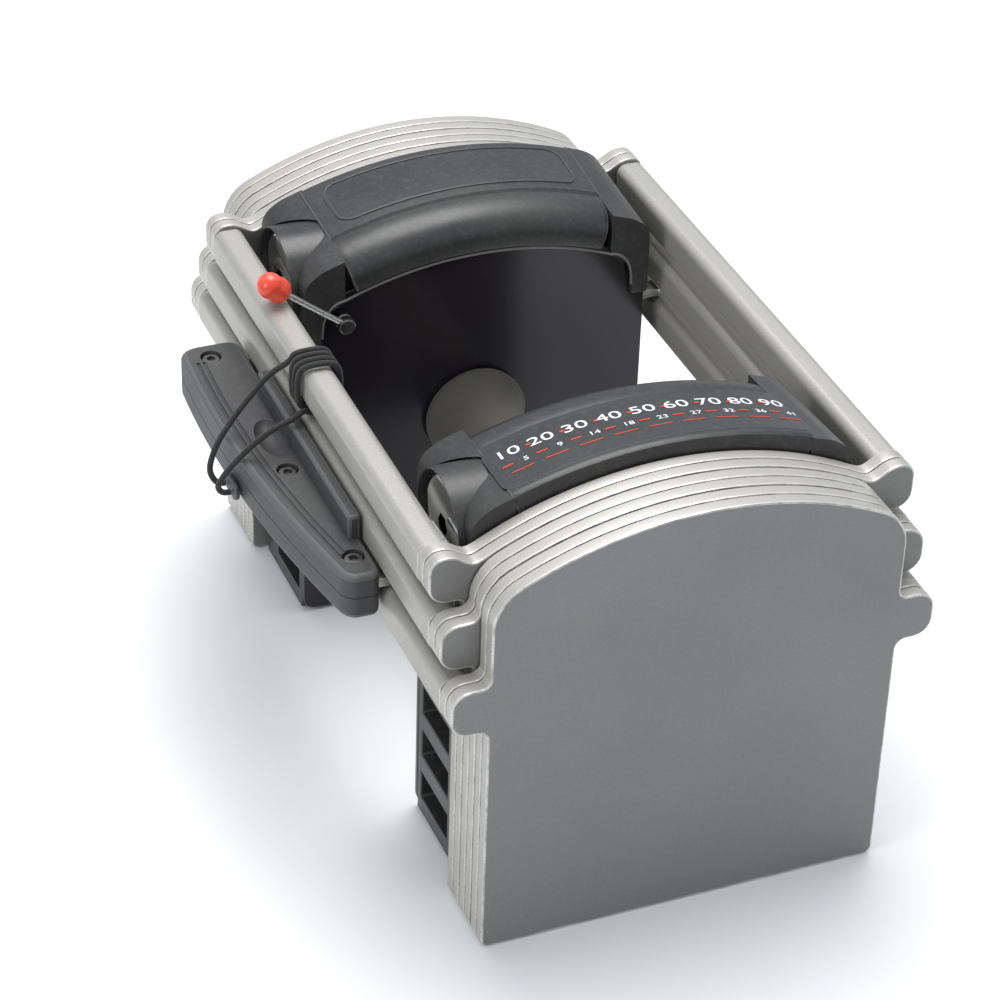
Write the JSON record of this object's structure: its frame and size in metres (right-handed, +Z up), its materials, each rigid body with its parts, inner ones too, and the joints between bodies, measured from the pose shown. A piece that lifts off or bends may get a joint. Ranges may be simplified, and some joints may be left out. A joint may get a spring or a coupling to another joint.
{
  "type": "adjustable dumbbell",
  "caption": "Block-shaped adjustable dumbbell: nested steel weight frames round a black core with a hand grip, a side selector pin on a lanyard and a small lock lever.",
  "frame": {"origin": "centre of the bounding box at the floor, with the lanyard cord left out", "axes": "+Z up, +Y along the hand grip towards the rear end, -X towards the selector pin"},
  "size_m": [0.2243, 0.304, 0.1828],
  "materials": {
    "weight1_plate": "satin grey coat",
    "weight2_plate": "satin grey coat",
    "weight3_plate": "satin grey coat",
    "rail": "satin grey coat, slightly speckled",
    "core_plastic": "satin moulded black",
    "panel_gloss": "polished black",
    "strip": "printed film",
    "grip_rubber": "soft matte",
    "pin_plastic": "textured moulded black",
    "steel": "zinc plated",
    "adder_chrome": "polished",
    "ball_red": "satin red",
    "cord": "braided cord"
  },
  "bodies": {
    "weight_3": {"weight3_plate_front_outer": "weight3_plate", "weight3_plate_front_inner": "weight3_plate", "weight3_plate_rear_outer": "weight3_plate", "weight3_plate_rear_inner": "weight3_plate", "weight3_rail_left": "rail", "weight3_rail_right": "rail"},
    "lifted_core": {"weight1_plate_front_outer": "weight1_plate", "weight1_plate_front_inner": "weight1_plate", "weight1_plate_rear_outer": "weight1_plate", "weight1_plate_rear_inner": "weight1_plate", "weight1_rail_left": "rail", "weight1_rail_right": "rail", "weight2_plate_front_outer": "weight2_plate", "weight2_plate_front_inner": "weight2_plate", "weight2_plate_rear_outer": "weight2_plate", "weight2_plate_rear_inner": "weight2_plate", "weight2_rail_left": "rail", "weight2_rail_right": "rail", "core_bar_front": "core_plastic", "core_bar_rear": "core_plastic", "core_panel_front": "panel_gloss", "core_panel_rear": "panel_gloss", "core_end_plate_front": "core_plastic", "core_end_plate_rear": "core_plastic", "core_column_front_left": "core_plastic", "core_column_front_right": "core_plastic", "core_column_rear_left": "core_plastic", "core_column_rear_right": "core_plastic", "adder_channel_front": "core_plastic", "adder_channel_rear": "core_plastic", "adder_weight_front": "adder_chrome", "adder_weight_rear": "adder_chrome", "scale_strip": "strip", "plain_strip": "strip", "handle_tube": "steel", "hand_grip": "grip_rubber", "front_clip_wire": "steel", "lanyard_cord": "cord"},
    "selector_pin": {"pin_fork": "steel", "pin_shell_upper": "pin_plastic", "pin_shell_lower": "pin_plastic", "pin_screw_1": "steel", "pin_screw_2": "steel", "pin_screw_3": "steel", "lanyard_eyelet": "pin_plastic"},
    "lock_lever": {"lever_pivot": "steel", "lever_wire": "steel", "lever_ball": "ball_red"}
  },
  "joints": [
    {"name": "lift", "type": "slide", "parent": "weight_3", "child": "lifted_core", "axis": [0, 0, 1], "range_m": [0, 0.19]},
    {"name": "pin_pull", "type": "slide", "parent": "lifted_core", "child": "selector_pin", "axis": [-1, 0, 0], "range_m": [0, 0.184], "deforming": ["lanyard_cord"]},
    {"name": "lever_swing", "type": "hinge", "parent": "lifted_core", "child": "lock_lever", "pos_m": [-0.0433, 0.061, 0.141], "axis": [0, 1, 0], "range_deg": [0, 65]}
  ]
}
